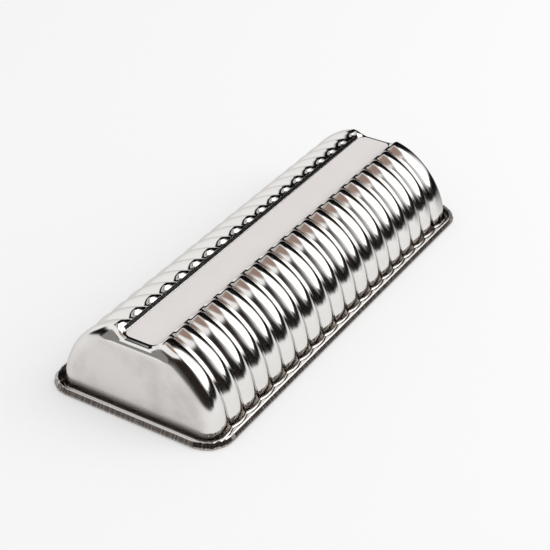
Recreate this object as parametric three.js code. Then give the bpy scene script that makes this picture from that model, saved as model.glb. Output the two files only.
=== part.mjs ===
// Ridged loaf pan drawn from one sheet of tinplate, standing mouth down on its wired rim.
// Millimetres. X runs along the pan, Y across it and Z up from the surface under the rim.
import * as THREE from 'three';

const { lerp, degToRad } = THREE.MathUtils;

// Sheet and rim wire.
const SHEET = 0.4;
const WIRE_DIAMETER = 1;
const WIRE_CLEARANCE = 0.25;

// Rim: a flat flange whose outer edge is turned up, leans inward and is folded back over the wire.
const RIM_LENGTH = 300;
const RIM_WIDTH = 120;
const RIM_CORNER_RADIUS = 17;
const GUTTER_WIDTH = 2.3;
const HEM_HEIGHT = 3.4;
const HEM_TOP_RADIUS = 0.7;
const HEM_LIP_GAP = 0.4;

// Trough: a half-round section with a flat strip sunk along its base, closed by two drafted end walls.
const STRIP_HEIGHT = 47;
const STRIP_WIDTH = 23.6;
const STRIP_DEPTH = 2;
const STRIP_WALL_RUN = 1.35;
const STRIP_CORNER_RADIUS = 5;
const FOOT_FILLET = 2;
const END_DRAFT = degToRad(5);
const SHOULDER_RADIUS = 5;

// Grooves pressed into the flanks, which leave the ridges between them.
const RIDGE_PITCH = 14.5;
const RIDGE_HEIGHT = 2.4;
const RIDGE_END_SLOPE = 2.75;
const RIDGE_END_MARGIN = 2;
const GROOVE_FOOT_DEPTH = 1.2;
const GROOVE_RUNOUT = 8.5;

// Facets.
const STEPS_PER_RIDGE = 4;
const FILLET_STEPS = 2;
const WALL_STEPS = 8;
const CORNER_STEPS = 5;
const END_STEPS = 4;
const END_WALL_SHARE = 2 / 3;
const RIM_CORNER_STEPS = 6;
const BEND_STEPS = 4;
const WIRE_SIDES = 8;

// Levels of the trough skin: the fillet from the flange, the wall, the edge above the strip, then the strip.
const WALL_LEVEL = FILLET_STEPS;
const EDGE_LEVEL = WALL_LEVEL + WALL_STEPS + 1;
const STRIP_LEVEL = EDGE_LEVEL + 1;

// Hem section: the bend round the wire, the leaning face, the top bend and the leg down to the flange.
const bendRadius = WIRE_DIAMETER / 2 + WIRE_CLEARANCE + SHEET;
const hemWidth = 2 * bendRadius;
const topOut = HEM_TOP_RADIUS - hemWidth;
const topZ = HEM_HEIGHT - HEM_TOP_RADIUS;
const bendToTop = new THREE.Vector2(topOut + bendRadius, topZ - bendRadius);
const hemLean = bendToTop.angle() - Math.acos((bendRadius - HEM_TOP_RADIUS) / bendToTop.length());
const flangeWidth = hemWidth + GUTTER_WIDTH;

// Half section of a flank: concentric arcs for the groove bottoms, up to the edge above the strip, and for the
// ridge crests, which slope down to that edge.
const strip = new THREE.Vector2(STRIP_WIDTH / 2, STRIP_HEIGHT);
const edge = new THREE.Vector2(strip.x + STRIP_WALL_RUN, strip.y + STRIP_DEPTH);
const mouthHalfWidth = RIM_WIDTH / 2 - flangeWidth - FOOT_FILLET;
const grooveHalfWidth = mouthHalfWidth - RIDGE_HEIGHT;
const axisHeight = (edge.lengthSq() - grooveHalfWidth ** 2) / (2 * edge.y);
const crestRadius = Math.hypot(grooveHalfWidth, axisHeight) + RIDGE_HEIGHT;
const ridgeTopAngle = Math.acos((edge.x + RIDGE_END_SLOPE) / crestRadius);
const filletHeight = SHEET + FOOT_FILLET;

// Directions that the strip, the wall beside it and the bottom of a groove face at their shared edges.
const stripNormal = new THREE.Vector2(0, 1);
const stripWallNormal = new THREE.Vector2(-STRIP_DEPTH, STRIP_WALL_RUN).normalize();
const grooveNormal = new THREE.Vector2(edge.x, edge.y - axisHeight).normalize();

// Half section of an end: a drafted wall, a foot fillet and a rounded shoulder up to the strip.
const mouthHalfLength = RIM_LENGTH / 2 - flangeWidth - FOOT_FILLET;
const endFilletOut = (FOOT_FILLET - filletHeight * Math.sin(END_DRAFT)) / Math.cos(END_DRAFT);
const endFilletX = mouthHalfLength + endFilletOut;
const shoulderZ = STRIP_HEIGHT - SHOULDER_RADIUS;
const shoulderStartZ = shoulderZ + SHOULDER_RADIUS * Math.sin(END_DRAFT);
const shoulderStartX = mouthHalfLength - shoulderStartZ * Math.tan(END_DRAFT);
const shoulderX = shoulderStartX - SHOULDER_RADIUS * Math.cos(END_DRAFT);
const footCornerRadius = RIM_CORNER_RADIUS - (RIM_LENGTH / 2 - endFilletX);

// As many whole grooves as fit along the strip.
const grooveCount = Math.floor((2 * (shoulderX - RIDGE_END_MARGIN)) / RIDGE_PITCH);
const ridgedHalfLength = (grooveCount * RIDGE_PITCH) / 2;
const stationCount = grooveCount * STEPS_PER_RIDGE;

// A closed skin put together from rings of points, all running anticlockwise when seen from above.
class Skin {
  constructor() {
    this.points = [];
    this.faces = [];
  }

  ring(points) {
    const first = this.points.length;
    this.points.push(...points);
    return points.map((_, index) => first + index);
  }

  // Joins two rings of equal count, facing outward when the second one lies above or inside the first.
  band(from, to) {
    from.forEach((corner, index) => {
      const next = (index + 1) % from.length;
      this.faces.push([corner, from[next], to[next]], [corner, to[next], to[index]]);
    });
  }

  // Fills a level outline, less a hole, facing up or down.
  patch(outline, hole, facesUp) {
    const inner = [...hole].reverse();
    const corners = [...outline, ...inner];
    const flat = (ring) => ring.map((corner) => new THREE.Vector2(...this.points[corner].slice(0, 2)));
    const holes = inner.length > 0 ? [flat(inner)] : [];
    THREE.ShapeUtils.triangulateShape(flat(outline), holes).forEach((triangle) => {
      const [a, b, c] = triangle.map((index) => corners[index]);
      this.faces.push(facesUp ? [a, b, c] : [a, c, b]);
    });
  }

  geometry() {
    const geometry = new THREE.BufferGeometry();
    geometry.setAttribute('position', new THREE.Float32BufferAttribute(this.points.flat(), 3));
    geometry.setIndex(this.faces.flat());
    geometry.computeVertexNormals();
    return geometry;
  }
}

// Depth of the grooves along the pan, from 0 on a crest to 1 at the bottom of a groove.
function grooveShare(x) {
  const phase = (x + ridgedHalfLength) / RIDGE_PITCH;
  const fromCrest = Math.abs(phase - Math.round(phase)) * 2;
  return fromCrest ** 2;
}

// Corner of a section, moved into the sheet so that the two faces that meet there keep their thickness.
function mitre(corner, firstNormal, secondNormal, inset) {
  const across = firstNormal.clone().add(secondNormal);
  return corner.clone().addScaledVector(across, -inset / (1 + firstNormal.dot(secondNormal))).toArray();
}

// Point of a flank's half section, as distance from the mid plane and height.
function flankPoint(level, groove, inset) {
  if (level === STRIP_LEVEL) {
    return mitre(strip, stripNormal, stripWallNormal, inset);
  }
  if (level === EDGE_LEVEL) {
    return mitre(edge, stripWallNormal, grooveNormal, inset);
  }
  const filletReach = crestRadius - groove * GROOVE_FOOT_DEPTH + FOOT_FILLET;
  const footAngle = Math.asin((filletHeight - axisHeight) / filletReach);
  if (level < WALL_LEVEL) {
    const turn = lerp(Math.PI / 2, footAngle, level / FILLET_STEPS);
    const radius = FOOT_FILLET + inset;
    const filletY = filletReach * Math.cos(footAngle);
    return [filletY - radius * Math.cos(turn), filletHeight - radius * Math.sin(turn)];
  }
  const climb = (level - WALL_LEVEL) / WALL_STEPS;
  const angle = lerp(footAngle, ridgeTopAngle, climb);
  const runout = Math.min(1, ((angle - footAngle) * crestRadius) / GROOVE_RUNOUT);
  const radius = crestRadius - groove * lerp(GROOVE_FOOT_DEPTH, RIDGE_HEIGHT, runout) - inset;
  return [radius * Math.cos(angle), axisHeight + radius * Math.sin(angle)];
}

// Point of an end's half section, as distance from the middle of the pan and height.
function endPoint(level, inset) {
  const filletRadius = FOOT_FILLET + inset;
  if (level < WALL_LEVEL) {
    const turn = lerp(Math.PI / 2, END_DRAFT, level / FILLET_STEPS);
    return [endFilletX - filletRadius * Math.cos(turn), filletHeight - filletRadius * Math.sin(turn)];
  }
  const climb = (level - WALL_LEVEL) / (STRIP_LEVEL - WALL_LEVEL);
  const shoulderTurn = lerp(END_DRAFT, Math.PI / 2, (climb - END_WALL_SHARE) / (1 - END_WALL_SHARE));
  const shoulderRadius = SHOULDER_RADIUS - inset;
  if (climb > END_WALL_SHARE) {
    const out = shoulderRadius * Math.cos(shoulderTurn);
    return [shoulderX + out, shoulderZ + shoulderRadius * Math.sin(shoulderTurn)];
  }
  const footX = endFilletX - filletRadius * Math.cos(END_DRAFT);
  const footZ = filletHeight - filletRadius * Math.sin(END_DRAFT);
  const upperX = shoulderX + shoulderRadius * Math.cos(END_DRAFT);
  const upperZ = shoulderZ + shoulderRadius * Math.sin(END_DRAFT);
  const share = climb / END_WALL_SHARE;
  return [lerp(footX, upperX, share), lerp(footZ, upperZ, share)];
}

// Plan radius of the corner between a flank and an end.
function cornerRadius(level, inset) {
  if (level < WALL_LEVEL) {
    return footCornerRadius - (endFilletX - endPoint(level, inset)[0]);
  }
  const climb = (level - WALL_LEVEL) / (STRIP_LEVEL - WALL_LEVEL);
  return lerp(footCornerRadius - FOOT_FILLET, STRIP_CORNER_RADIUS, climb) - inset;
}

// One ring of the trough skin. The second half repeats the first, turned half round.
function troughRing(level, inset) {
  const [endX, endZ] = endPoint(level, inset);
  const [plainY, plainZ] = flankPoint(level, 0, inset);
  const corner = cornerRadius(level, inset);
  const arcStart = endX - corner;
  const half = [];
  for (let station = 0; station <= stationCount; station += 1) {
    const x = lerp(-ridgedHalfLength, ridgedHalfLength, station / stationCount);
    const [y, z] = flankPoint(level, grooveShare(x), inset);
    const past = Math.max(0, Math.abs(x) - arcStart);
    half.push([x, -y + corner - Math.sqrt(corner ** 2 - past ** 2), z]);
  }
  const firstTurn = Math.asin(Math.max(0, ridgedHalfLength - arcStart) / corner);
  const arc = [];
  for (let step = 1; step < CORNER_STEPS; step += 1) {
    const share = step / CORNER_STEPS;
    const turn = lerp(firstTurn, Math.PI / 2, share);
    const y = plainY - corner * (1 - Math.cos(turn));
    arc.push([arcStart + corner * Math.sin(turn), y, lerp(plainZ, endZ, share)]);
  }
  half.push(...arc.map(([x, y, z]) => [x, -y, z]));
  for (let step = 0; step <= END_STEPS; step += 1) {
    half.push([endX, lerp(corner - plainY, plainY - corner, step / END_STEPS), endZ]);
  }
  half.push(...arc.reverse());
  return [...half, ...half.map(([x, y, z]) => [-x, -y, z])];
}

// One ring of the rim, set out from its outer edge and concentric with it at the corners.
function rimRing(out, z) {
  const radius = RIM_CORNER_RADIUS + out;
  const centreX = RIM_LENGTH / 2 - RIM_CORNER_RADIUS;
  const centreY = RIM_WIDTH / 2 - RIM_CORNER_RADIUS;
  const half = [];
  [-1, 1].forEach((side) => {
    for (let step = 0; step <= RIM_CORNER_STEPS; step += 1) {
      const turn = (Math.PI / 2) * (step / RIM_CORNER_STEPS + (side - 1) / 2);
      half.push([centreX + radius * Math.cos(turn), side * centreY + radius * Math.sin(turn), z]);
    }
  });
  return [...half, ...half.map(([x, y, height]) => [-x, -y, height])];
}

// Points of a bend in the rim section, as distance out from the rim edge and height.
function bend(out, z, radius, fromTurn, toTurn, steps) {
  return Array.from({ length: steps + 1 }, (_, step) => {
    const turn = lerp(fromTurn, toTurn, step / steps);
    return [out + radius * Math.cos(turn), z + radius * Math.sin(turn)];
  });
}

// Section of the hem, up its outer side to the lip of the leg and back down its inner side.
function hemSection() {
  const down = -Math.PI / 2;
  const lipZ = SHEET + HEM_LIP_GAP;
  return [
    ...bend(-bendRadius, bendRadius, bendRadius, down, hemLean, BEND_STEPS),
    ...bend(topOut, topZ, HEM_TOP_RADIUS, hemLean, Math.PI, BEND_STEPS),
    [-hemWidth, lipZ],
    [SHEET - hemWidth, lipZ],
    ...bend(topOut, topZ, HEM_TOP_RADIUS - SHEET, Math.PI, hemLean, BEND_STEPS),
    ...bend(-bendRadius, bendRadius, bendRadius - SHEET, hemLean, down, BEND_STEPS),
  ];
}

// Sheet pressing: trough, end walls, strip, flange and hem in one skin.
function shellGeometry() {
  const skin = new Skin();
  const levels = Array.from({ length: STRIP_LEVEL + 1 }, (_, level) => level);
  const outer = levels.map((level) => skin.ring(troughRing(level, 0)));
  const inner = levels.map((level) => skin.ring(troughRing(level, SHEET)));
  const hem = hemSection().map(([out, z]) => skin.ring(rimRing(out, z)));
  skin.patch(hem[0], inner[0], false);
  hem.slice(1).forEach((ring, index) => skin.band(hem[index], ring));
  skin.patch(hem[hem.length - 1], outer[0], true);
  levels.slice(1).forEach((level) => {
    skin.band(outer[level - 1], outer[level]);
    skin.band(inner[level], inner[level - 1]);
  });
  skin.patch(outer[STRIP_LEVEL], [], true);
  skin.patch(inner[STRIP_LEVEL], [], false);
  return skin.geometry();
}

// Wire ring that lies in the bend of the hem.
function wireGeometry() {
  const skin = new Skin();
  const section = bend(-bendRadius, bendRadius, WIRE_DIAMETER / 2, 0, 2 * Math.PI, WIRE_SIDES).slice(1);
  const rings = section.map(([out, z]) => skin.ring(rimRing(out, z)));
  rings.forEach((ring, index) => skin.band(ring, rings[(index + 1) % rings.length]));
  return skin.geometry();
}

function piece(name, geometry, material) {
  const mesh = new THREE.Mesh(geometry, material);
  mesh.name = name;
  return mesh;
}

const tinplate = new THREE.MeshStandardMaterial({ color: 0xd2d3d5, metalness: 1, roughness: 0.22 });
const wireSteel = new THREE.MeshStandardMaterial({ color: 0x9a9a98, metalness: 1, roughness: 0.45 });

const pan = new THREE.Group();
pan.name = 'ridged_loaf_pan';
pan.add(piece('pan_shell', shellGeometry(), tinplate));
pan.add(piece('rim_wire', wireGeometry(), wireSteel));

export default pan;
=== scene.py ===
"""Ridged loaf pan of drawn tinplate, dressed on its solid model, standing mouth down on a pale floor."""

import logging
import math
from dataclasses import dataclass
from enum import Enum
from typing import Any

import bpy
import numpy as np
from mathutils import Matrix, Vector


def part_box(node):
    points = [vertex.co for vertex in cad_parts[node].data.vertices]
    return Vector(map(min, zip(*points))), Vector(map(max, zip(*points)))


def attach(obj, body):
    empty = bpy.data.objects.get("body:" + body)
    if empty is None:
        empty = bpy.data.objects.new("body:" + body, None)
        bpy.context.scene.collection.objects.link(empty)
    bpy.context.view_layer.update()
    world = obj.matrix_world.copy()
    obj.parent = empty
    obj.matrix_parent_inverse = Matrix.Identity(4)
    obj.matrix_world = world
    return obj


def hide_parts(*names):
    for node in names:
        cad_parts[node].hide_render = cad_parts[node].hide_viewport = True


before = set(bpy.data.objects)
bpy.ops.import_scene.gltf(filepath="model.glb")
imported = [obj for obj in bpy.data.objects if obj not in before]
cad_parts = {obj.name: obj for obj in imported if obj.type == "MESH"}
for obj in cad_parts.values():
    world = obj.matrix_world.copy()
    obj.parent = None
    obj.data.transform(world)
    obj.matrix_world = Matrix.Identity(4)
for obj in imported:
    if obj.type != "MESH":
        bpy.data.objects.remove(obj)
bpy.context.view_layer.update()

LOG = logging.getLogger("loaf_pan")
MM = 0.001
COVER = "card_cover"
# Share of the way to a sharp corner that the handles of its rounding reach.
CORNER_HANDLE = 0.6


class Part(str, Enum):
    """Names of the solid model's nodes, body and material slots."""

    BODY = "root"
    SHELL = "pan_shell"
    WIRE = "rim_wire"
    TINPLATE_SLOT = "tinplate"
    WIRE_SLOT = "wire_steel"


class Mark(str, Enum):
    """Names of the point attributes that the pressing and the finishes read."""

    PRESS = "groove_press"
    HEM = "hem_share"
    ROUND = "corner_share"
    RUN = "rim_run"
    OUT = "rim_out"
    SATIN = "satin_share"
    # Share of painted shade on the hem and in the gutter at the foot.
    PAINTED_SHADE = "tarnish_share"
    # Share of blotchy painted shade, with smudges, on the end walls.
    SMUDGE_AND_SHADE = "smudge_and_shade_share"


def linear_colour(code: str) -> tuple[float, float, float, float]:
    """Turns an sRGB hex code into a linear colour.

    Args:
        code: Six hex digits with a leading hash.

    Returns:
        Linear red, green, blue and an alpha of 1.
    """
    values = [int(code[start:start + 2], 16) / 255 for start in (1, 3, 5)]
    linear = [v / 12.92 if v <= 0.04045 else ((v + 0.055) / 1.055) ** 2.4 for v in values]
    return (*linear, 1.0)


def add_node(tree: bpy.types.NodeTree, kind: str, inputs: dict[Any, Any] | None = None,
             **settings: Any) -> bpy.types.Node:
    """Adds one node, sets its properties and fills or links its inputs.

    Args:
        tree: Node tree that gets the node.
        kind: Blender's type name of the node.
        inputs: Input name or index to a plain value, to the output socket that feeds it, or to a node whose
            first output feeds it.
        settings: Properties of the node.

    Returns:
        The new node.
    """
    node = tree.nodes.new(kind)
    for name, value in settings.items():
        setattr(node, name, value)
    for key, value in (inputs or {}).items():
        source = value.outputs[0] if isinstance(value, bpy.types.Node) else value
        if isinstance(source, bpy.types.NodeSocket):
            tree.links.new(source, node.inputs[key])
        else:
            node.inputs[key].default_value = source
    return node


def new_material(name: str) -> tuple[bpy.types.Material, bpy.types.NodeTree]:
    """Starts a material with an empty node tree.

    Args:
        name: Name of the material.

    Returns:
        The material and its tree.
    """
    material = bpy.data.materials.new(name)
    material.use_nodes = True
    material.node_tree.nodes.clear()
    return material, material.node_tree


def arc(centre: tuple[float, float], radius: float, start: float, stop: float, steps: int) -> np.ndarray:
    """Points of a plane arc.

    Args:
        centre: Centre of the arc.
        radius: Radius of the arc.
        start: First angle in radians.
        stop: Last angle in radians.
        steps: Count of equal steps.

    Returns:
        Array of steps + 1 points.
    """
    turn = np.linspace(start, stop, steps + 1)
    return np.stack([centre[0] + radius * np.cos(turn), centre[1] + radius * np.sin(turn)], 1)


def bezier(p0: np.ndarray, p1: np.ndarray, p2: np.ndarray, p3: np.ndarray, steps: int) -> np.ndarray:
    """Points of a cubic curve.

    Args:
        p0: First end.
        p1: Handle of the first end.
        p2: Handle of the second end.
        p3: Second end.
        steps: Count of equal steps.

    Returns:
        Array of steps + 1 points.
    """
    t = np.linspace(0, 1, steps + 1)[:, None]
    return (1 - t) ** 3 * p0 + 3 * (1 - t) ** 2 * t * p1 + 3 * (1 - t) * t ** 2 * p2 + t ** 3 * p3


def toward(start: np.ndarray, goal: np.ndarray, distance: float) -> np.ndarray:
    """Point at a distance from a start on the way to a goal."""
    return start + (goal - start) * distance / np.linalg.norm(goal - start)


def rounded_corner(start: np.ndarray, corner: np.ndarray, stop: np.ndarray, steps: int) -> np.ndarray:
    """Rounds a corner of a section.

    Args:
        start: Point before the corner.
        corner: The sharp corner.
        stop: Point after the corner.
        steps: Count of steps.

    Returns:
        Points after the start, up to the stop.
    """
    first = start + (corner - start) * CORNER_HANDLE
    last = stop + (corner - stop) * CORNER_HANDLE
    return bezier(start, first, last, stop, steps)[1:]


def offset_section(points: np.ndarray, inset: float) -> np.ndarray:
    """Moves a section that climbs inward from the flange to its underside.

    Args:
        points: Section as distance out and height.
        inset: Distance to move.

    Returns:
        Moved section with the same count of points.
    """
    along = np.gradient(points, axis=0)
    along /= np.linalg.norm(along, axis=1)[:, None]
    outward = np.stack([along[:, 1], -along[:, 0]], 1)
    return points - inset * outward


def ease(share: np.ndarray) -> np.ndarray:
    """Smooth step from 0 to 1."""
    held = np.clip(share, 0, 1)
    return held * held * (3 - 2 * held)


@dataclass(frozen=True)
class BrightTinplate:
    """Tin-coated steel sheet, drawn in a polished die: mirror-like flanks, satin where it was pressed flat.

    The eye gets sharp black and white reflections on the ridges, an even pale sheen with faint rolling grain
    on the base strip and handling smudges on the end walls. Painted shade darkens the end walls in blotches,
    the gutter at the foot, and the hem with ticks along it. The hem's brow keeps little of it, so its top
    line stays bright.
    """

    colour: str = "#EFEDEB"
    bloom_colour: str = "#E2E0DD"
    satin_colour: str = "#F1ECE9"
    # Colour of the end walls' blotches: painted shade, with smudges.
    smudge_and_shade_colour: str = "#BDB7B3"
    # Colour of the painted shade on the hem and in the gutter at the foot.
    painted_shade_colour: str = "#776C66"
    edge_colour: str = "#DEDCDA"
    bright_roughness: float = 0.11
    satin_roughness: float = 0.45
    satin_metal: float = 0.1
    smudge_roughness: float = 0.07
    smudge_mm: float = 22.0
    smudge_range: tuple[float, float] = (0.3, 0.7)
    patch_range: tuple[float, float] = (0.42, 0.72)
    smudge_and_shade_range: tuple[float, float] = (0.25, 0.75)
    tick_range: tuple[float, float] = (0.35, 0.65)
    tick_contrast: float = 0.5
    ripple_mm: float = 9.0
    ripple_height_mm: float = 0.012
    grain_across_mm: float = 0.9
    grain_along_mm: float = 45.0
    grain_height_mm: float = 0.006
    crimp_pitch_mm: float = 1.1
    crimp_height_mm: float = 0.09

    def material(self) -> bpy.types.Material:
        """Builds the node material.

        Returns:
            Material for the pressed sheet.
        """
        material, tree = new_material("Bright drawn tinplate")
        place = add_node(tree, "ShaderNodeTexCoord").outputs["Object"]
        marks = {mark: add_node(tree, "ShaderNodeAttribute", attribute_name=mark.value).outputs["Fac"]
                 for mark in (Mark.SATIN, Mark.HEM, Mark.RUN, Mark.SMUDGE_AND_SHADE, Mark.PAINTED_SHADE)}
        smudge = add_node(tree, "ShaderNodeTexNoise", {
            "Vector": place, "Scale": 1 / (self.smudge_mm * MM), "Detail": 4.0, "Roughness": 0.55})
        crimp_run = add_node(tree, "ShaderNodeMath", {
            0: marks[Mark.RUN], 1: 1 / (self.crimp_pitch_mm * MM)}, operation="MULTIPLY")
        crimp = add_node(tree, "ShaderNodeTexNoise", {"W": crimp_run, "Scale": 1.0, "Detail": 1.0},
                         noise_dimensions="1D")
        metal = add_node(tree, "ShaderNodeMix", {
            "Factor": marks[Mark.SATIN], "A": 1.0, "B": self.satin_metal}, data_type="FLOAT")
        shader = add_node(tree, "ShaderNodeBsdfPrincipled", {
            "Base Color": self.tone(tree, marks, smudge, crimp), "Metallic": metal.outputs["Result"],
            "Roughness": self.gloss(tree, marks[Mark.SATIN], smudge),
            "Specular Tint": linear_colour(self.edge_colour),
            "Normal": self.relief(tree, marks, place, crimp)})
        add_node(tree, "ShaderNodeOutputMaterial", {"Surface": shader})
        return material

    def tone(self, tree: bpy.types.NodeTree, marks: dict[Mark, bpy.types.NodeSocket],
             smudge: bpy.types.Node, crimp: bpy.types.Node) -> bpy.types.NodeSocket:
        """Lays bloom, satin and painted shade, blotchy on the end walls and ticked on the hem, over the tin.

        Args:
            tree: Node tree that gets the nodes.
            marks: Mark to the socket that reads it.
            smudge: Noise of the smudges.
            crimp: Noise of the crimp marks.

        Returns:
            Socket with the colour.
        """
        patch = add_node(tree, "ShaderNodeMapRange", {
            "Value": smudge, "From Min": self.patch_range[0], "From Max": self.patch_range[1],
            "To Min": self.smudge_and_shade_range[0], "To Max": self.smudge_and_shade_range[1]})
        tick = add_node(tree, "ShaderNodeMapRange", {
            "Value": crimp, "From Min": self.tick_range[0], "From Max": self.tick_range[1],
            "To Min": 1 - self.tick_contrast, "To Max": 1.0})
        # Painted shade: the end walls are darkened in blotches that also stand for smudges.
        smudged_and_shaded = add_node(tree, "ShaderNodeMath", {0: patch, 1: marks[Mark.SMUDGE_AND_SHADE]}, operation="MULTIPLY")
        # Painted shade: darkens the hem, ticked along its run, and the gutter at the foot.
        ticked_shade = add_node(tree, "ShaderNodeMath", {0: tick, 1: marks[Mark.PAINTED_SHADE]}, operation="MULTIPLY")
        colour = linear_colour(self.colour)
        for share, layer in ((smudge, self.bloom_colour), (marks[Mark.SATIN], self.satin_colour),
                             (smudged_and_shaded, self.smudge_and_shade_colour), (ticked_shade, self.painted_shade_colour)):
            mixed = add_node(tree, "ShaderNodeMix", {
                "Factor": share, "A": colour, "B": linear_colour(layer)}, data_type="RGBA")
            colour = mixed.outputs["Result"]
        return colour

    def gloss(self, tree: bpy.types.NodeTree, satin: bpy.types.NodeSocket,
              smudge: bpy.types.Node) -> bpy.types.Node:
        """Mixes bright and satin roughness, with smudges where the sheet is satin.

        Args:
            tree: Node tree that gets the nodes.
            satin: Socket with the satin share.
            smudge: Noise of the smudges.

        Returns:
            Node that gives the roughness.
        """
        base = add_node(tree, "ShaderNodeMix", {
            "Factor": satin, "A": self.bright_roughness, "B": self.satin_roughness}, data_type="FLOAT")
        smudged = add_node(tree, "ShaderNodeMapRange", {
            "Value": smudge, "From Min": self.smudge_range[0], "From Max": self.smudge_range[1],
            "To Min": -self.smudge_roughness, "To Max": self.smudge_roughness})
        share = add_node(tree, "ShaderNodeMath", {0: smudged, 1: satin}, operation="MULTIPLY")
        return add_node(tree, "ShaderNodeMath", {0: base.outputs["Result"], 1: share}, operation="ADD",
                        use_clamp=True)

    def relief(self, tree: bpy.types.NodeTree, marks: dict[Mark, bpy.types.NodeSocket],
               place: bpy.types.NodeSocket, crimp: bpy.types.Node) -> bpy.types.Node:
        """Stacks the waves of the drawn sheet, the rolling grain of the satin and the hem's crimp marks.

        Args:
            tree: Node tree that gets the nodes.
            marks: Mark to the socket that reads it.
            place: Object coordinates.
            crimp: Noise of the crimp marks.

        Returns:
            Node that gives the normal.
        """
        ripple = add_node(tree, "ShaderNodeTexNoise", {
            "Vector": place, "Scale": 1 / (self.ripple_mm * MM), "Detail": 1.0})
        along, across = 1 / (self.grain_along_mm * MM), 1 / (self.grain_across_mm * MM)
        stretched = add_node(tree, "ShaderNodeMapping", {"Vector": place, "Scale": (along, across, along)})
        grain = add_node(tree, "ShaderNodeTexNoise", {"Vector": stretched, "Scale": 1.0, "Detail": 3.0})
        grain_height, crimp_height = (
            add_node(tree, "ShaderNodeMath", {0: noise, 1: marks[mark]}, operation="MULTIPLY")
            for noise, mark in ((grain, Mark.SATIN), (crimp, Mark.HEM)))
        below: dict[str, bpy.types.Node] = {}
        for height, size_mm in ((ripple, self.ripple_height_mm), (grain_height, self.grain_height_mm),
                                (crimp_height, self.crimp_height_mm)):
            bump = add_node(tree, "ShaderNodeBump", {
                "Strength": 1.0, "Distance": size_mm * MM, "Height": height, **below})
            below = {"Normal": bump}
        return bump


@dataclass(frozen=True)
class DrawnWireSteel:
    """Plain drawn steel wire: mid grey, fairly rough, with fine die lines."""

    colour: str = "#9A9A98"
    roughness: float = 0.45
    die_line_mm: float = 0.4
    die_line_height_mm: float = 0.01

    def material(self) -> bpy.types.Material:
        """Builds the node material.

        Returns:
            Material for the rim wire.
        """
        material, tree = new_material("Drawn steel wire")
        place = add_node(tree, "ShaderNodeTexCoord").outputs["Object"]
        lines = add_node(tree, "ShaderNodeTexNoise", {
            "Vector": place, "Scale": 1 / (self.die_line_mm * MM), "Detail": 2.0})
        bump = add_node(tree, "ShaderNodeBump", {
            "Strength": 1.0, "Distance": self.die_line_height_mm * MM, "Height": lines})
        shader = add_node(tree, "ShaderNodeBsdfPrincipled", {
            "Base Color": linear_colour(self.colour), "Metallic": 1.0, "Roughness": self.roughness,
            "Normal": bump})
        add_node(tree, "ShaderNodeOutputMaterial", {"Surface": shader})
        return material


def shown_directly(tree: bpy.types.NodeTree) -> bpy.types.Node:
    """Tells whether a surface or the surround is seen by the camera, in gloss or through glass.

    Args:
        tree: Node tree that gets the nodes.

    Returns:
        Node that gives 1 where it is seen and 0 where it only lights.
    """
    path = add_node(tree, "ShaderNodeLightPath").outputs
    seen = add_node(tree, "ShaderNodeMath", {0: path["Is Camera Ray"], 1: path["Is Glossy Ray"]},
                    operation="MAXIMUM")
    return add_node(tree, "ShaderNodeMath", {0: seen, 1: path["Is Transmission Ray"]}, operation="MAXIMUM")


@dataclass(frozen=True)
class MattCard:
    """Matt paper or cloth of one colour, for the floor and the studio's cards.

    Lift is the share of plain white that the camera and gloss see in it. A card that fades is clear where
    its cover is 0.
    """

    name: str
    colour: str
    roughness: float = 0.9
    fibre_mm: float = 3.0
    fibre_height_mm: float = 0.02
    fibre_strength: float = 0.2
    fades: bool = False
    lift: float = 0.0

    def material(self) -> bpy.types.Material:
        """Builds the node material.

        Returns:
            Material for a floor or card.
        """
        material, tree = new_material(self.name)
        place = add_node(tree, "ShaderNodeTexCoord").outputs["Object"]
        fibre = add_node(tree, "ShaderNodeTexNoise", {
            "Vector": place, "Scale": 1 / (self.fibre_mm * MM), "Detail": 2.0})
        bump = add_node(tree, "ShaderNodeBump", {
            "Strength": self.fibre_strength, "Distance": self.fibre_height_mm * MM, "Height": fibre})
        surface = add_node(tree, "ShaderNodeBsdfPrincipled", {
            "Base Color": linear_colour(self.colour), "Roughness": self.roughness,
            "Specular IOR Level": 0.0, "Normal": bump})
        if self.lift > 0:
            white = add_node(tree, "ShaderNodeEmission", {"Strength": 1.0})
            share = add_node(tree, "ShaderNodeMath", {0: shown_directly(tree), 1: self.lift},
                             operation="MULTIPLY")
            surface = add_node(tree, "ShaderNodeMixShader", {0: share, 1: surface, 2: white})
        if self.fades:
            cover = add_node(tree, "ShaderNodeAttribute", attribute_name=COVER).outputs["Fac"]
            clear = add_node(tree, "ShaderNodeBsdfTransparent")
            surface = add_node(tree, "ShaderNodeMixShader", {0: cover, 1: clear, 2: surface})
        add_node(tree, "ShaderNodeOutputMaterial", {"Surface": surface})
        return material


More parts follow.
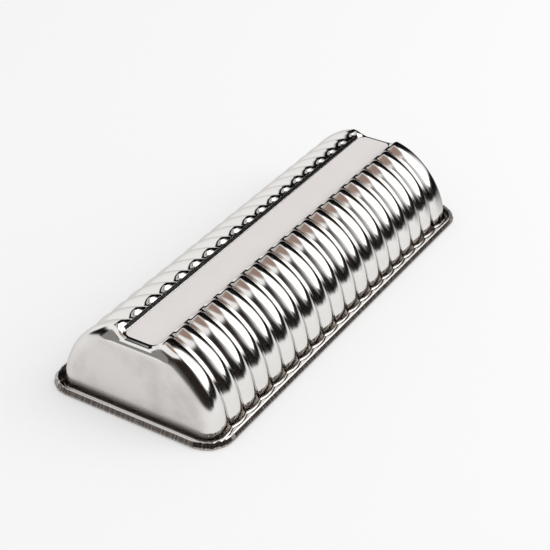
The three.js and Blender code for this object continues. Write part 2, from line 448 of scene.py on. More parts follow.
@dataclass(frozen=True)
class RolledHem:
    """Section of the rim's edge, in millimetres: turned up round a wire, leaning inward and folded down."""

    sheet: float = 0.4
    wire_diameter: float = 1.0
    wire_clearance: float = 0.25
    height: float = 4.4
    top_radius: float = 0.45
    face_lean: float = math.radians(30)
    face_hold: float = 0.15
    brow_width: float = 0.42
    brow_lean: float = math.radians(41)
    lip_gap: float = 0.4
    bend_steps: int = 8
    brow_steps: int = 3

    @property
    def bend_radius(self) -> float:
        """Outer radius of the bend round the wire."""
        return self.wire_diameter / 2 + self.wire_clearance + self.sheet

    @property
    def width(self) -> float:
        """Width of the hem from the rim's edge to the outside of its leg."""
        return 2 * self.bend_radius

    @property
    def brow_height(self) -> float:
        """Height of the centre of the bend from the face to the brow."""
        return self.height - self.top_radius - self.brow_width * math.cos(self.brow_lean)

    @property
    def bright_brow_height(self) -> float:
        """Height above which the hem has little painted shade, so its brow stays bright, halfway round that
        bend.
        """
        return self.brow_height + self.top_radius * math.sin((self.face_lean + self.brow_lean) / 2)

    def section(self) -> tuple[np.ndarray, np.ndarray]:
        """Lays out the hem as distance out from the rim's edge and height.

        Returns:
            Points from the flange's underside round to its top face, and for each how freely it puckers.
        """
        bend, top = self.bend_radius, self.top_radius
        lean, brow, down, inward = self.face_lean, self.brow_lean, -math.pi / 2, math.pi
        low = (-bend, bend)
        shift = ((bend - self.brow_height) * math.sin(lean) + bend - top) / math.cos(lean)
        middle = np.array([shift - bend, self.brow_height])
        high = middle + self.brow_width * np.array([-math.sin(brow), math.cos(brow)])
        leg = high[0] - top
        lip = self.sheet + self.lip_gap
        foot = arc(low, bend, down, lean, self.bend_steps)
        over = arc(middle, top, lean, brow, self.brow_steps)
        crown = arc(high, top, brow, inward, self.bend_steps)
        face = np.stack([toward(foot[-1], over[0], self.face_hold),
                         toward(over[0], foot[-1], self.face_hold)])
        brow_end = toward(crown[0], over[-1], self.face_hold)
        down_leg = np.array([[leg, (lip + high[1]) / 2], [leg, lip]])
        outside = [foot, face, over, brow_end[None], crown, down_leg]
        inside = [np.array([[leg + self.sheet, lip]]),
                  arc(high, top - self.sheet, inward, brow, self.brow_steps),
                  arc(middle, top - self.sheet, brow, lean, 1),
                  arc(low, bend - self.sheet, lean, down, self.bend_steps)]
        points = np.concatenate(outside + inside)
        return points, ease(points[:, 1] / bend)


@dataclass(frozen=True)
class Stations:
    """Places round the pan that every ring of the skin shares, from one flank round to it again."""

    grooves: int
    pitch: float
    half_pitch_steps: int = 7
    groove_crowding: float = 1.5
    corner_steps: int = 30
    end_steps: int = 30

    @property
    def grooved_half_length(self) -> float:
        """Half length of the grooved stretch of a flank."""
        return self.grooves * self.pitch / 2

    def flank(self) -> np.ndarray:
        """Places along a flank, closer together towards the bottom of each groove.

        Returns:
            Distances along the pan, rising.
        """
        away = np.linspace(0, 1, self.half_pitch_steps + 1) ** self.groove_crowding * self.pitch / 2
        one_groove = np.concatenate([-away[:0:-1], away[:-1]])
        centres = (np.arange(self.grooves) + 0.5) * self.pitch - self.grooved_half_length
        places = (centres[:, None] + one_groove[None, :]).ravel()
        return np.append(places, self.grooved_half_length)

    def end_share(self) -> np.ndarray:
        """How far each station has turned from a flank to an end.

        Returns:
            0 along the flanks, rising round the corners to 1 across the ends.
        """
        corner = np.arange(1, self.corner_steps) / self.corner_steps
        half = [np.zeros(len(self.flank())), corner, np.ones(self.end_steps + 1), corner[::-1]]
        return np.tile(np.concatenate(half), 2)

    def flank_side(self) -> np.ndarray:
        """Which flank each station is on.

        Returns:
            -1 along the first flank, 1 along the second and 0 round the corners and ends.
        """
        half = np.zeros(len(self.end_share()) // 2)
        half[:len(self.flank())] = -1
        return np.concatenate([half, -half])

    def ring(self, half_length: float, half_width: float, radius: float, flank_z: float,
             end_z: float) -> np.ndarray:
        """Places one ring of the skin on a round-cornered oblong.

        Args:
            half_length: Half the oblong's length.
            half_width: Half the oblong's width.
            radius: Radius of its corners.
            flank_z: Height on the flanks.
            end_z: Height on the ends.

        Returns:
            Points of the ring, anticlockwise when seen from above.
        """
        along = self.flank()
        start = half_length - radius
        past = np.maximum(0, np.abs(along) - start)
        flank_y = radius - half_width - np.sqrt(radius ** 2 - past ** 2)
        flank = np.stack([along, flank_y, 0 * along + flank_z], 1)
        first = math.asin(max(0.0, along[-1] - start) / radius)
        share = np.arange(1, self.corner_steps) / self.corner_steps
        turn = first + (math.pi / 2 - first) * share
        corner = np.stack([start + radius * np.sin(turn), half_width - radius * (1 - np.cos(turn)),
                           flank_z + (end_z - flank_z) * ease(share)], 1)
        across = np.linspace(radius - half_width, half_width - radius, self.end_steps + 1)
        end = np.stack([0 * across + half_length, across, 0 * across + end_z], 1)
        half = np.concatenate([flank, corner * (1, -1, 1), end, corner[::-1]])
        return np.concatenate([half, half * (-1, -1, 1)])


@dataclass
class PressedSheet:
    """The pan's one sheet of tinplate, in millimetres: ridged trough, ends, base strip, flange and hem."""

    hem: RolledHem
    rim_corner_radius: float = 17.0
    gutter_width: float = 2.3
    strip_height: float = 46.2
    strip_width: float = 23.1
    strip_depth: float = 2.45
    strip_wall_run: float = 1.45
    strip_corner_radius: float = 5.0
    strip_round: float = 0.15
    strip_borders: tuple[float, float] = (0.3, 2.0)
    edge_round: float = 0.02
    edge_hold: float = 0.994
    foot_fillet: float = 2.0
    end_draft: float = math.radians(5)
    shoulder_radius: float = 5.0
    ridge_pitch: float = 14.5
    ridge_height: float = 2.8
    ridge_end_slope: float = 2.75
    ridge_end_round: float = 1.3
    ridge_tip_reach: float = 1.2
    ridge_end_margin: float = 2.0
    groove_foot_depth: float = 1.2
    groove_runout: float = 8.5
    groove_bottom_radius: float = 0.5
    pucker_depth: float = 0.7
    pucker_length: float = 3.4
    pucker_onset: float = 6.0
    fold_range: tuple[float, float] = (0.35, 0.65)
    fillet_steps: int = 6
    wall_steps: int = 44
    ridge_end_steps: int = 6
    strip_wall_steps: int = 3
    strip_wall_shares: tuple[float, ...] = (0.006, 0.95, 1.0)
    inner_skip: int = 3
    end_wall_share: float = 2 / 3
    ridge_end_share: float = 0.8
    end_matt: float = 0.7
    corner_bright: float = 0.4
    # Painted shade: how much the gutter at the foot and the hem below its brow are darkened.
    gutter_painted_shade: float = 0.8
    # Painted shade left on the hem's brow: little, so its top line stays bright.
    crown_painted_shade: float = 0.1
    hem_satin: float = 0.06
    foot_climb: tuple[float, float] = (0.0, 0.16)
    top_climb: tuple[float, float] = (0.62, 0.72)

    def __post_init__(self) -> None:
        """Takes the rim's outline from the solid model and works out the trough's section."""
        low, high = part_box(Part.SHELL.value)
        self.rim_length = (high.x - low.x) / MM
        self.rim_width = (high.y - low.y) / MM
        flange = self.hem.width + self.gutter_width
        self.mouth_half_length = self.rim_length / 2 - flange - self.foot_fillet
        groove_half_width = self.rim_width / 2 - flange - self.foot_fillet - self.ridge_height
        self.strip = np.array([self.strip_width / 2, self.strip_height])
        self.edge = self.strip + (self.strip_wall_run, self.strip_depth)
        self.axis_height = (self.edge @ self.edge - groove_half_width ** 2) / (2 * self.edge[1])
        self.crest_radius = math.hypot(groove_half_width, self.axis_height) + self.ridge_height
        self.fillet_height = self.hem.sheet + self.foot_fillet
        draft_cos, draft_sin = math.cos(self.end_draft), math.sin(self.end_draft)
        fillet_run = (self.foot_fillet - self.fillet_height * draft_sin) / draft_cos
        self.end_fillet_x = self.mouth_half_length + fillet_run
        self.shoulder_z = self.strip_height - self.shoulder_radius
        start_z = self.shoulder_z + self.shoulder_radius * draft_sin
        start_x = self.mouth_half_length - start_z * math.tan(self.end_draft)
        self.shoulder_x = start_x - self.shoulder_radius * draft_cos
        self.foot_corner_radius = self.rim_corner_radius - (self.rim_length / 2 - self.end_fillet_x)
        grooves = math.floor(2 * (self.shoulder_x - self.ridge_end_margin) / self.ridge_pitch)
        self.stations = Stations(grooves, self.ridge_pitch)

    def flank_sections(self) -> tuple[np.ndarray, np.ndarray]:
        """Half sections of a flank from the flange to the edge of the strip.

        Returns:
            Section along a crest and section along the bottom of a groove, as distances from the mid plane
            and heights.
        """
        centre = np.array([0.0, self.axis_height])
        valley_radius = self.crest_radius - self.ridge_height
        top_turn = math.acos((self.edge[0] + self.ridge_end_slope) / self.crest_radius)
        top = centre + self.crest_radius * np.array([math.cos(top_turn), math.sin(top_turn)])
        crown = top_turn - self.ridge_end_round / self.crest_radius
        fillets = []
        for radius in (self.crest_radius, self.crest_radius - self.groove_foot_depth):
            reach = radius + self.foot_fillet
            foot = math.asin((self.fillet_height - self.axis_height) / reach)
            fillets.append(arc((reach * math.cos(foot), self.fillet_height), self.foot_fillet,
                               1.5 * math.pi, math.pi + foot, self.fillet_steps))
        # The groove's fillet ends higher than the crest's, so both walls start at its angle.
        wall = arc((0.0, self.axis_height), self.crest_radius, foot, crown, self.wall_steps)[1:]
        groove_crown = crown - self.ridge_tip_reach / self.crest_radius
        groove_turns = np.linspace(foot, groove_crown, self.wall_steps + 1)[1:]
        gain = self.ridge_height - self.groove_foot_depth
        climb = (groove_turns - foot) * self.crest_radius
        foot_radius = self.crest_radius - self.groove_foot_depth
        reach = foot_radius - gain * np.minimum(1, climb / self.groove_runout)
        groove_wall = centre + reach[:, None] * np.stack([np.cos(groove_turns), np.sin(groove_turns)], 1)
        edge_turn = math.acos(self.edge[0] / valley_radius) - self.edge_round / valley_radius
        turns = groove_crown + (edge_turn - groove_crown) * self.edge_shares(2 * self.ridge_end_steps)
        groove_end = centre + valley_radius * np.stack([np.cos(turns), np.sin(turns)], 1)
        after_top = toward(top, self.edge, self.ridge_end_round)
        before_edge = toward(self.edge, top, self.edge_round)
        nose = after_top + (before_edge - after_top) * self.edge_shares(self.ridge_end_steps)[:, None]
        ridge_end = np.concatenate([rounded_corner(wall[-1], top, after_top, self.ridge_end_steps), nose])
        below_edge = toward(self.edge, self.strip, self.edge_round)
        above_strip = toward(self.strip, self.edge, self.strip_round)
        on_strip = self.strip - (self.strip_round, 0.0)
        down = np.array(self.strip_wall_shares)[:, None]
        strip_corner = rounded_corner(above_strip, self.strip, on_strip, self.strip_wall_steps)
        strip_wall = np.concatenate([below_edge + (above_strip - below_edge) * down, strip_corner])
        sections = []
        for fillet, face, end in zip(fillets, (wall, groove_wall), (ridge_end, groove_end)):
            bend = rounded_corner(end[-1], self.edge, below_edge, self.strip_wall_steps)
            sections.append(np.concatenate([fillet, face, end, bend, strip_wall]))
        return sections[0], sections[1]

    def edge_shares(self, steps: int) -> np.ndarray:
        """Shares of the way to the strip's edge, with the last but one held close to it.

        Args:
            steps: Count of shares.

        Returns:
            Rising shares that end at 1.
        """
        return np.append(np.linspace(0, self.edge_hold, steps)[1:], 1.0)

    def climbs(self) -> np.ndarray:
        """How far each level above the foot fillet has climbed, from 0 to 1 at the strip.

        Returns:
            One share for each level of a section.
        """
        stretches = [np.zeros(self.fillet_steps), np.linspace(0, self.ridge_end_share, self.wall_steps + 1)]
        edge_share = (1 + self.ridge_end_share) / 2
        stretches.append(np.linspace(self.ridge_end_share, edge_share, 2 * self.ridge_end_steps + 1)[1:])
        wall_levels = 2 * self.strip_wall_steps + len(self.strip_wall_shares)
        stretches.append(np.linspace(edge_share, 1, wall_levels + 1)[1:])
        return np.concatenate(stretches)

    def end_section(self) -> np.ndarray:
        """Half section of an end, with as many levels as a flank's.

        Returns:
            Distances from the middle of the pan and heights.
        """
        fillet = arc((self.end_fillet_x, self.fillet_height), self.foot_fillet,
                     1.5 * math.pi, math.pi + self.end_draft, self.fillet_steps)
        climb = self.climbs()[self.fillet_steps + 1:, None]
        past_wall = np.clip((climb - self.end_wall_share) / (1 - self.end_wall_share), 0, 1)
        turn = self.end_draft + (math.pi / 2 - self.end_draft) * past_wall
        shoulder = (self.shoulder_x, self.shoulder_z) + self.shoulder_radius * np.concatenate(
            [np.cos(turn), np.sin(turn)], 1)
        wall_share = np.minimum(1, climb / self.end_wall_share)
        return np.concatenate([fillet, fillet[-1] * (1 - wall_share) + shoulder * wall_share])

    def skin_rings(self, inset: float, skip: int) -> list[dict[str, np.ndarray]]:
        """Rings of one side of the trough, from the flange up to inside the edge of the strip.

        Args:
            inset: Distance of this side below the sheet's outer face.
            skip: Every how many levels a ring is made.

        Returns:
            Rings with their points and marks.
        """
        crest, groove = self.flank_sections()
        end = self.end_section()
        press = (groove - crest) / self.ridge_height
        crest_in, end_in = offset_section(crest, inset), offset_section(end, inset)
        last = len(crest) - 1
        share = self.stations.end_share()
        sides = self.stations.flank_side()
        foot = self.foot_corner_radius - self.foot_fillet
        rings = []
        for level in sorted({*range(0, last, skip), last}):
            corner = self.foot_corner_radius - (self.end_fillet_x - end[level][0])
            if level > self.fillet_steps:
                corner = foot + (self.strip_corner_radius - foot) * self.climbs()[level]
            points = self.stations.ring(end_in[level][0], crest_in[level][0], corner - inset * (level > 0),
                                        crest_in[level][1], end_in[level][1])
            push = np.stack([0 * sides, press[level][0] * sides, press[level][1] * np.abs(sides)], 1)
            climb = self.climbs()[level]
            foot_matt = ease((climb - self.foot_climb[0]) / (self.foot_climb[1] - self.foot_climb[0]))
            top_matt = ease((self.top_climb[1] - climb) / (self.top_climb[1] - self.top_climb[0]))
            flat = ease((share - self.corner_bright) / (1 - self.corner_bright)) * min(foot_matt, top_matt)
            # Painted shade in the gutter: the foot fillet is darkened, most at the flange.
            painted_dark = self.gutter_painted_shade * max(0.0, 1 - level / self.fillet_steps)
            # Painted shade: the flat of each end wall is marked for the darker blotches.
            rings.append({"points": points, Mark.PRESS: push, Mark.SATIN: self.end_matt * flat,
                          Mark.SMUDGE_AND_SHADE: flat, Mark.PAINTED_SHADE: np.full(len(points), painted_dark)})
        for inside in self.strip_borders:
            points = self.stations.ring(end_in[last][0] - inside, crest_in[last][0] - inside,
                                        self.strip_corner_radius - inset - inside,
                                        crest_in[last][1], end_in[last][1])
            rings.append({"points": points, Mark.SATIN: np.ones(len(points))})
        return rings

    def hem_rings(self) -> list[dict[str, np.ndarray]]:
        """Rings of the hem, from the flange's underside round to its top face.

        Returns:
            Rings with their points and marks.
        """
        section, free = self.hem.section()
        share = self.stations.end_share()
        plan = self.rim_ring(0, 0)
        step = np.linalg.norm(np.roll(plan, -1, 0) - plan, axis=1)
        run = np.concatenate([[0], np.cumsum(step)[:-1]])
        outward = plan - self.rim_ring(-1, 0)
        turning = np.clip(np.minimum(share, 1 - share) * self.pucker_onset, 0, 1)
        rings = []
        for (out, z), loose in zip(section, free):
            # Painted shade on the hem: dark below the brow's bend, light above it so the brow stays bright.
            painted_dark = self.crown_painted_shade if z > self.hem.bright_brow_height else max(loose, self.gutter_painted_shade)
            ring = {"points": self.rim_ring(out, z), Mark.RUN: run * MM, Mark.OUT: outward,
                    Mark.ROUND: turning}
            for mark, level in ((Mark.HEM, loose), (Mark.SATIN, self.hem_satin), (Mark.PAINTED_SHADE, painted_dark)):
                ring[mark] = np.full(len(plan), level)
            rings.append(ring)
        return rings

    def rim_ring(self, out: float, z: float) -> np.ndarray:
        """One ring of the rim at a distance out from its edge."""
        return self.stations.ring(self.rim_length / 2 + out, self.rim_width / 2 + out,
                                  self.rim_corner_radius + out, z, z)

    def blank(self) -> bpy.types.Object:
        """Builds the smooth sheet before its ridges are pressed, with the marks that the pressing reads.

        Returns:
            Object with the closed skin of the sheet.
        """
        inner = self.skin_rings(self.hem.sheet, self.inner_skip)[::-1]
        rings = inner + self.hem_rings() + self.skin_rings(0.0, 1)
        count = len(rings[0]["points"])
        points = np.concatenate([ring["points"] for ring in rings]) * MM
        index = np.arange(count)
        onward = np.roll(index, -1)
        quads = [np.stack([index, onward, onward + count, index + count], 1) + level * count
                 for level in range(len(rings) - 1)]
        top = (len(rings) - 1) * count
        faces = np.concatenate(quads).tolist()
        faces += self.strip_faces(count, top, True) + self.strip_faces(count, 0, False)
        mesh = bpy.data.meshes.new("tinplate_sheet")
        mesh.from_pydata(points.tolist(), [], faces)
        for mark in Mark:
            vector = mark in (Mark.PRESS, Mark.OUT)
            empty = np.zeros((count, 3)) if vector else np.zeros(count)
            values = np.concatenate([ring.get(mark, empty) for ring in rings]).astype(np.float32)
            attribute = mesh.attributes.new(mark.value, "FLOAT_VECTOR" if vector else "FLOAT", "POINT")
            attribute.data.foreach_set("vector" if vector else "value", values.ravel())
        mesh.validate()
        blank = bpy.data.objects.new("tinplate_sheet", mesh)
        bpy.context.scene.collection.objects.link(blank)
        return blank

    def strip_faces(self, count: int, first: int, faces_up: bool) -> list[list[int]]:
        """Closes the base strip with bars from flank to flank and one face at each end.

        Args:
            count: Points in a ring.
            first: Index of the ring's first point.
            faces_up: Whether the faces look up.

        Returns:
            Faces as lists of point indices.
        """
        half = count // 2
        along = len(self.stations.flank())
        faces = [[i, i + 1, half + along - 2 - i, half + along - 1 - i] for i in range(along - 1)]
        faces.append(list(range(along - 1, half + 1)))
        faces.append([*range(half + along - 1, count), 0])
        return [[first + corner for corner in (face if faces_up else face[::-1])] for face in faces]

    def press_ridges(self, blank: bpy.types.Object, material: bpy.types.Material) -> None:
        """Presses the grooves between the ridges into both flanks of the blank.

        Args:
            blank: Smooth sheet with its marks.
            material: Finish of the sheet.
        """
        sizes = {"Pitch": self.ridge_pitch, "Height": self.ridge_height,
                 "Half length": self.stations.grooved_half_length,
                 "Bottom radius": self.groove_bottom_radius}
        tree, start = new_geometry_tree("Press ridges", tuple(sizes))
        pitch, height, half_length, bottom = (start.outputs[name] for name in sizes)
        place = add_node(tree, "GeometryNodeInputPosition")
        along = add_node(tree, "ShaderNodeSeparateXYZ", {0: place}).outputs["X"]
        back = add_node(tree, "ShaderNodeMath", {0: half_length, 1: -1.0}, operation="MULTIPLY")
        held = add_node(tree, "ShaderNodeClamp", {"Value": along, "Min": back, "Max": half_length})
        from_end = add_node(tree, "ShaderNodeMath", {0: held, 1: half_length}, operation="ADD")
        phase = add_node(tree, "ShaderNodeMath", {0: from_end, 1: pitch}, operation="DIVIDE")
        nearest = add_node(tree, "ShaderNodeMath", {0: phase}, operation="ROUND")
        from_crest = add_node(tree, "ShaderNodeMath", {0: phase, 1: nearest}, operation="SUBTRACT")
        crest_share = add_node(tree, "ShaderNodeMath", {0: from_crest}, operation="ABSOLUTE")
        groove_share = add_node(tree, "ShaderNodeMath", {0: 0.5, 1: crest_share}, operation="SUBTRACT")
        distance = add_node(tree, "ShaderNodeMath", {0: groove_share, 1: pitch}, operation="MULTIPLY")
        half_pitch = add_node(tree, "ShaderNodeMath", {0: pitch, 1: 0.5}, operation="MULTIPLY")
        bottom_square = add_node(tree, "ShaderNodeMath", {0: bottom, 1: 2.0}, operation="POWER")
        rises = []
        for reach in (distance, half_pitch):
            square = add_node(tree, "ShaderNodeMath", {0: reach, 1: 2.0}, operation="POWER")
            both = add_node(tree, "ShaderNodeMath", {0: square, 1: bottom_square}, operation="ADD")
            root = add_node(tree, "ShaderNodeMath", {0: both}, operation="SQRT")
            rises.append(add_node(tree, "ShaderNodeMath", {0: root, 1: bottom}, operation="SUBTRACT"))
        spread = add_node(tree, "ShaderNodeMath", {0: rises[0], 1: rises[1]}, operation="DIVIDE")
        fall = add_node(tree, "ShaderNodeMath", {0: 1.0, 1: spread}, operation="SUBTRACT")
        groove = add_node(tree, "ShaderNodeMath", {0: fall, 1: 2.0}, operation="POWER")
        depth = add_node(tree, "ShaderNodeMath", {0: groove, 1: height}, operation="MULTIPLY")
        press = add_node(tree, "GeometryNodeInputNamedAttribute", {"Name": Mark.PRESS.value},
                         data_type="FLOAT_VECTOR")
        move = add_node(tree, "ShaderNodeVectorMath", {0: press, "Scale": depth}, operation="SCALE")
        pressed = add_node(tree, "GeometryNodeSetPosition", {
            "Geometry": start.outputs["Geometry"], "Offset": move})
        close_geometry_tree(tree, pressed, material)
        apply_tree(blank, tree, sizes)

    def pucker_hem(self, blank: bpy.types.Object, material: bpy.types.Material) -> None:
        """Puckers the hem where the sheet was gathered round the rim's corners.

        Args:
            blank: Sheet with its marks.
            material: Finish of the sheet.
        """
        sizes = {"Depth": self.pucker_depth, "Length": self.pucker_length}
        tree, start = new_geometry_tree("Pucker hem", tuple(sizes))
        depth, length = (start.outputs[name] for name in sizes)
        run, hem, turning = (add_node(tree, "GeometryNodeInputNamedAttribute", {"Name": mark.value},
                                      data_type="FLOAT") for mark in (Mark.RUN, Mark.HEM, Mark.ROUND))
        out = add_node(tree, "GeometryNodeInputNamedAttribute", {"Name": Mark.OUT.value},
                       data_type="FLOAT_VECTOR")
        phase = add_node(tree, "ShaderNodeMath", {0: run, 1: length}, operation="DIVIDE")
        fold = add_node(tree, "ShaderNodeTexNoise", {"W": phase, "Scale": 1.0, "Detail": 1.0},
                        noise_dimensions="1D")
        sharp = add_node(tree, "ShaderNodeMapRange", {
            "Value": fold, "From Min": self.fold_range[0], "From Max": self.fold_range[1]})
        loose = add_node(tree, "ShaderNodeMath", {0: hem, 1: turning}, operation="MULTIPLY")
        share = add_node(tree, "ShaderNodeMath", {0: sharp, 1: loose}, operation="MULTIPLY")
        outward = add_node(tree, "ShaderNodeMath", {0: share, 1: depth}, operation="MULTIPLY")
        inward = add_node(tree, "ShaderNodeMath", {0: outward, 1: -1.0}, operation="MULTIPLY")
        move = add_node(tree, "ShaderNodeVectorMath", {0: out, "Scale": inward}, operation="SCALE")
        puckered = add_node(tree, "GeometryNodeSetPosition", {
            "Geometry": start.outputs["Geometry"], "Offset": move})
        close_geometry_tree(tree, puckered, material)
        apply_tree(blank, tree, sizes)

    def build(self, finish: BrightTinplate) -> bpy.types.Object:
        """Makes the finished sheet and puts it in place of the solid model's shell.

        Args:
            finish: Finish of the sheet.

        Returns:
            The sheet's object.
        """
        material = finish.material()
        sheet = self.blank()
        self.press_ridges(sheet, material)
        self.pucker_hem(sheet, material)
        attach(sheet, Part.BODY.value)
        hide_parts(Part.SHELL.value)
        return sheet


def new_geometry_tree(name: str, sizes: tuple[str, ...]) -> tuple[bpy.types.NodeTree, bpy.types.Node]:
    """Starts a geometry node tree with a geometry input and named sizes.

    Args:
        name: Name of the tree.
        sizes: Names of its size inputs, in metres.

    Returns:
        The tree and its input node.
    """
    tree = bpy.data.node_groups.new(name, "GeometryNodeTree")
    tree.interface.new_socket("Geometry", in_out="INPUT", socket_type="NodeSocketGeometry")
    tree.interface.new_socket("Geometry", in_out="OUTPUT", socket_type="NodeSocketGeometry")
    for size in sizes:
        tree.interface.new_socket(size, in_out="INPUT", socket_type="NodeSocketFloat")
    return tree, add_node(tree, "NodeGroupInput")


def close_geometry_tree(tree: bpy.types.NodeTree, geometry: bpy.types.Node,
                        material: bpy.types.Material) -> None:
    """Ends a tree with smooth shading, real meshes and a finish.

    Args:
        tree: Tree to end.
        geometry: Node that gives the shaped mesh.
        material: Finish to set.
    """
    smooth = add_node(tree, "GeometryNodeSetShadeSmooth", {"Geometry": geometry})
    real = add_node(tree, "GeometryNodeRealizeInstances", {"Geometry": smooth})
    dressed = add_node(tree, "GeometryNodeSetMaterial", {"Geometry": real, "Material": material})
    add_node(tree, "NodeGroupOutput", {"Geometry": dressed})


def apply_tree(piece: bpy.types.Object, tree: bpy.types.NodeTree, sizes_mm: dict[str, float]) -> None:
    """Runs a geometry node tree on a piece and keeps the result as a plain mesh.

    Args:
        piece: Object to shape.
        tree: Tree to run.
        sizes_mm: Input name to size in millimetres.
    """
    modifier = piece.modifiers.new(tree.name, "NODES")
    modifier.node_group = tree
    for socket in tree.interface.items_tree:
        if socket.item_type == "SOCKET" and socket.in_out == "INPUT" and socket.name in sizes_mm:
            modifier[socket.identifier] = sizes_mm[socket.name] * MM
    bpy.context.view_layer.update()
    shaped = piece.evaluated_get(bpy.context.evaluated_depsgraph_get())
    mesh = bpy.data.meshes.new_from_object(shaped)
    piece.modifiers.remove(modifier)
    piece.data = mesh


class RimWire:
    """The wire that the hem is folded round, which stays as the solid model has it."""

    def dress(self, finish: DrawnWireSteel) -> bpy.types.Object:
        """Gives the wire its finish.

        Args:
            finish: Finish of the wire.

        Returns:
            The wire's object.
        """
        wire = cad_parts[Part.WIRE.value]
        wire.data.materials.clear()
        wire.data.materials.append(finish.material())
        return wire


@dataclass(frozen=True)
class DomeCard:
    """A curved card on a dome round the pan that shows only in its reflections, in metres and degrees.

    Azimuth runs from +X towards +Y. The lower and upper edges rise evenly from the card's start to its
    stop, and the card grows clear over its fades.
    """

    name: str
    finish: MattCard
    azimuth: tuple[float, float]
    low: tuple[float, float]
    high: tuple[float, float]
    fade_ends: tuple[float, float] = (0.0, 0.0)
    fade_edges: tuple[float, float] = (0.0, 0.0)
    distance: float = 2.0
    steps: int = 40

    def build(self) -> bpy.types.Object:
        """Makes the card.

        Returns:
            The card's object.
        """
        share = np.linspace(0, 1, self.steps + 1)
        turn = np.repeat(self.azimuth[0] + (self.azimuth[1] - self.azimuth[0]) * share, self.steps + 1)
        low = np.repeat(self.low[0] + (self.low[1] - self.low[0]) * share, self.steps + 1)
        high = np.repeat(self.high[0] + (self.high[1] - self.high[0]) * share, self.steps + 1)
        rise = low + (high - low) * np.tile(share, self.steps + 1)
        cover = np.ones(len(turn))
        insides = (turn - self.azimuth[0], self.azimuth[1] - turn, rise - low, high - rise)
        for inside, fade in zip(insides, self.fade_ends + self.fade_edges):
            if fade > 0:
                cover = np.minimum(cover, ease(inside / fade))
        points = self.place(np.radians(turn), rise)
        row = self.steps + 1
        faces = [(i * row + j, (i + 1) * row + j, (i + 1) * row + j + 1, i * row + j + 1)
                 for i in range(self.steps) for j in range(self.steps)]
        card = stage_piece(self.name, points.tolist(), faces, self.finish.material(), False)
        attribute = card.data.attributes.new(COVER, "FLOAT", "POINT")
        attribute.data.foreach_set("value", cover.astype(np.float32))
        return card

    def place(self, turn: np.ndarray, rise: np.ndarray) -> np.ndarray:
        """Places the card's points.

        Args:
            turn: Azimuths in radians.
            rise: Elevations in degrees.

        Returns:
            Points in metres.
        """
        lift = np.radians(rise)
        towards = [np.cos(turn) * np.cos(lift), np.sin(turn) * np.cos(lift), np.sin(lift)]
        return self.distance * np.stack(towards, 1)


@dataclass(frozen=True)
class FloorCard(DomeCard):
    """A card that lies on the floor, whose edges are angles below level as seen from halfway up the pan."""

    height: float = 0.001
    eye: float = 0.025

    def place(self, turn: np.ndarray, rise: np.ndarray) -> np.ndarray:
        """Places the card's points.

        Args:
            turn: Azimuths in radians.
            rise: Angles in degrees, below zero.

        Returns:
            Points in metres.
        """
        away = self.eye / np.tan(np.radians(-rise))
        return np.stack([away * np.cos(turn), away * np.sin(turn), np.full(len(turn), self.height)], 1)


def stage_piece(name: str, points: list[tuple[float, float, float]], faces: list[tuple[int, ...]],
                material: bpy.types.Material, in_view: bool) -> bpy.types.Object:
    """Makes one piece of the stage.

    Args:
        name: Name of the piece.
        points: Its points in metres.
        faces: Its faces.
        material: Its finish.
        in_view: Whether the camera sees it directly.

    Returns:
        The piece's object.
    """
    mesh = bpy.data.meshes.new(name)
    mesh.from_pydata(points, [], faces)
    mesh.materials.append(material)
    piece = bpy.data.objects.new(name, mesh)
    bpy.context.scene.collection.objects.link(piece)
    piece.visible_camera = in_view
    piece.visible_diffuse = in_view
    piece.visible_shadow = in_view
    return piece


@dataclass(frozen=True)
class SoftBox:
    """An even rectangular lamp that looks at the pan, in metres, degrees and radiance."""

    name: str
    azimuth: float
    elevation: float
    distance: float
    size: tuple[float, float]
    radiance: float
    colour: str = "#FFFFFF"

    def build(self) -> bpy.types.Object:
        """Makes the lamp.

        Returns:
            The lamp's object.
        """
        turn, rise = math.radians(self.azimuth), math.radians(self.elevation)
        towards = Vector((math.cos(turn) * math.cos(rise), math.sin(turn) * math.cos(rise), math.sin(rise)))
        lamp = bpy.data.lights.new(self.name, "AREA")
        lamp.shape = "RECTANGLE"
        lamp.size, lamp.size_y = self.size
        lamp.energy = self.radiance * math.pi * self.size[0] * self.size[1]
        lamp.color = linear_colour(self.colour)[:3]
        piece = bpy.data.objects.new(self.name, lamp)
        piece.matrix_world = (Matrix.Translation(towards * self.distance)
                              @ towards.to_track_quat("Z", "Y").to_matrix().to_4x4())
        bpy.context.scene.collection.objects.link(piece)
        return piece


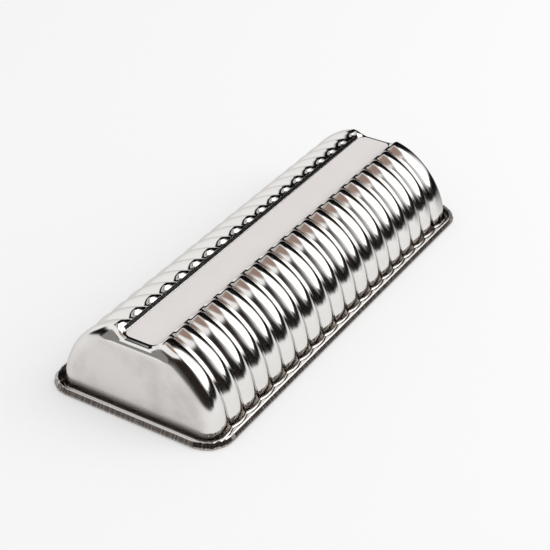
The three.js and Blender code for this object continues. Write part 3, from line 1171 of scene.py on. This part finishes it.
@dataclass
class Studio:
    """Pale floor, cards, lamp and surround of the photograph."""

    floor_colour: str = "#F9F9F9"
    floor_lift: float = 0.32
    floor_half: float = 6.0
    dark_colour: str = "#0E0C0B"
    dim_colour: str = "#2E2724"
    brown_colour: str = "#A68D81"
    grey_colour: str = "#C4BEBA"
    front_colour: str = "#979592"
    ambient: float = 0.78

    def build_floor(self) -> None:
        """Lays the floor."""
        half = self.floor_half
        corners = [(-half, -half, 0.0), (half, -half, 0.0), (half, half, 0.0), (-half, half, 0.0)]
        paper = MattCard("Pale paper", self.floor_colour, lift=self.floor_lift)
        stage_piece("floor", corners, [(0, 1, 2, 3)], paper.material(), True)

    def build_cards(self) -> None:
        """Hangs the dark cards round the pan and the paler ones in front of it and over it."""
        dark = MattCard("Dark cloth", self.dark_colour, fades=True)
        dim = MattCard("Dim brown cloth", self.dim_colour, fades=True)
        brown = MattCard("Brown ceiling paper", self.brown_colour, fades=True)
        grey = MattCard("Grey ceiling paper", self.grey_colour, fades=True)
        front = MattCard("Grey cloth", self.front_colour, fades=True)
        # After its finish, each card has its azimuths, its lower and its upper edge from start to stop, its
        # fades at the ends and at the edges, and its distance.
        cards = (DomeCard("card_low_near", dark, (-130, -82), (3, -1), (46, 24), (8, 0), (4, 14)),
                 DomeCard("card_low_side", dark, (-82, -56), (0.5, -1), (24, 20), (0, 0), (5, 4)),
                 DomeCard("card_low", dark, (-56, 8), (-1, -1), (20, 10), (0, 0), (0, 4)),
                 FloorCard("card_floor", dark, (-75, 6), (-4, -15), (-0.7, -0.7), (12, 8), (9, 0)),
                 DomeCard("card_back", dark, (-26, 38), (0, 5), (66, 66), (14, 0), (3, 8)),
                 DomeCard("card_back_left", dark, (38, 56), (5, 28), (66, 66), (0, 0), (3, 8)),
                 DomeCard("card_left", dark, (56, 132), (28, 46), (66, 66), (0, 10), (3, 8)),
                 DomeCard("card_far_left", dark, (95, 135), (0, 0), (28, 28), (8, 0), (2, 6)),
                 DomeCard("card_camera_side", dim, (135, 275), (0, 0), (25, 76), (0, 36), (2, 5), 1.9),
                 DomeCard("card_front", front, (132, 172), (0, 0), (30, 30), (0, 4), (2, 6), 1.85),
                 DomeCard("card_over", brown, (-180, 0), (66, 66), (90, 90), (0, 0), (6, 0), 2.1),
                 DomeCard("card_over_left", grey, (0, 180), (64, 64), (90, 90), (0, 0), (6, 0), 2.1))
        for card in cards:
            card.build()

    def build_light(self) -> None:
        """Hangs the lamp and sets the even surround, which is white to the camera and to gloss."""
        SoftBox("soft_box_right", azimuth=-57, elevation=40, distance=1.8, size=(1.5, 1.65),
                radiance=1.5).build()
        world = bpy.data.worlds.new("Studio surround")
        bpy.context.scene.world = world
        world.use_nodes = True
        tree = world.node_tree
        tree.nodes.clear()
        level = add_node(tree, "ShaderNodeMix", {
            "Factor": shown_directly(tree), "A": self.ambient, "B": 1.0}, data_type="FLOAT")
        surround = add_node(tree, "ShaderNodeBackground", {
            "Color": linear_colour("#FFFFFF"), "Strength": level.outputs["Result"]})
        add_node(tree, "ShaderNodeOutputWorld", {"Surface": surround})

    def build(self) -> None:
        """Sets up the whole stage."""
        self.build_floor()
        self.build_cards()
        self.build_light()
        bpy.context.scene.view_settings.view_transform = "Standard"


@dataclass(frozen=True)
class PhotoCamera:
    """Camera of the photograph, fitted to the rim and the ridge ends in its 550 pixel square frame."""

    frame_px: float = 550.0
    focal_px: float = 1502.957
    centre_px: tuple[float, float] = (269.543, 292.733)
    azimuth: float = -58.283
    elevation: float = 34.348
    roll: float = 0.358
    distance: float = 0.939286
    sensor_mm: float = 36.0
    clip_start: float = 0.01

    def build(self) -> bpy.types.Object:
        """Makes the camera and puts it in use.

        Returns:
            The camera's object.
        """
        turn, rise, roll = (math.radians(a) for a in (self.azimuth, self.elevation, self.roll))
        back = Vector((math.sin(turn) * math.cos(rise), -math.cos(turn) * math.cos(rise), math.sin(rise)))
        level_right = (-back).cross(Vector((0, 0, 1))).normalized()
        level_up = level_right.cross(-back)
        right = math.cos(roll) * level_right + math.sin(roll) * level_up
        up = -math.sin(roll) * level_right + math.cos(roll) * level_up
        data = bpy.data.cameras.new("photo_camera")
        data.sensor_width = self.sensor_mm
        data.lens = self.focal_px / self.frame_px * self.sensor_mm
        data.shift_x = 0.5 - self.centre_px[0] / self.frame_px
        data.shift_y = self.centre_px[1] / self.frame_px - 0.5
        data.clip_start = self.clip_start
        camera = bpy.data.objects.new("photo_camera", data)
        camera.matrix_world = (Matrix.Translation(back * self.distance)
                               @ Matrix((right, up, back)).transposed().to_4x4())
        bpy.context.scene.collection.objects.link(camera)
        bpy.context.scene.camera = camera
        return camera


def main() -> None:
    """Builds the camera, the pan and the studio, and reports each piece."""
    logging.basicConfig(level=logging.INFO, format="%(name)s: %(message)s")
    PhotoCamera().build()
    sheet = PressedSheet(RolledHem()).build(BrightTinplate())
    LOG.info("%s: %d faces", sheet.name, len(sheet.data.polygons))
    wire = RimWire().dress(DrawnWireSteel())
    LOG.info("%s: %d faces", wire.name, len(wire.data.polygons))
    Studio().build()


if __name__ == "__main__":
    main()
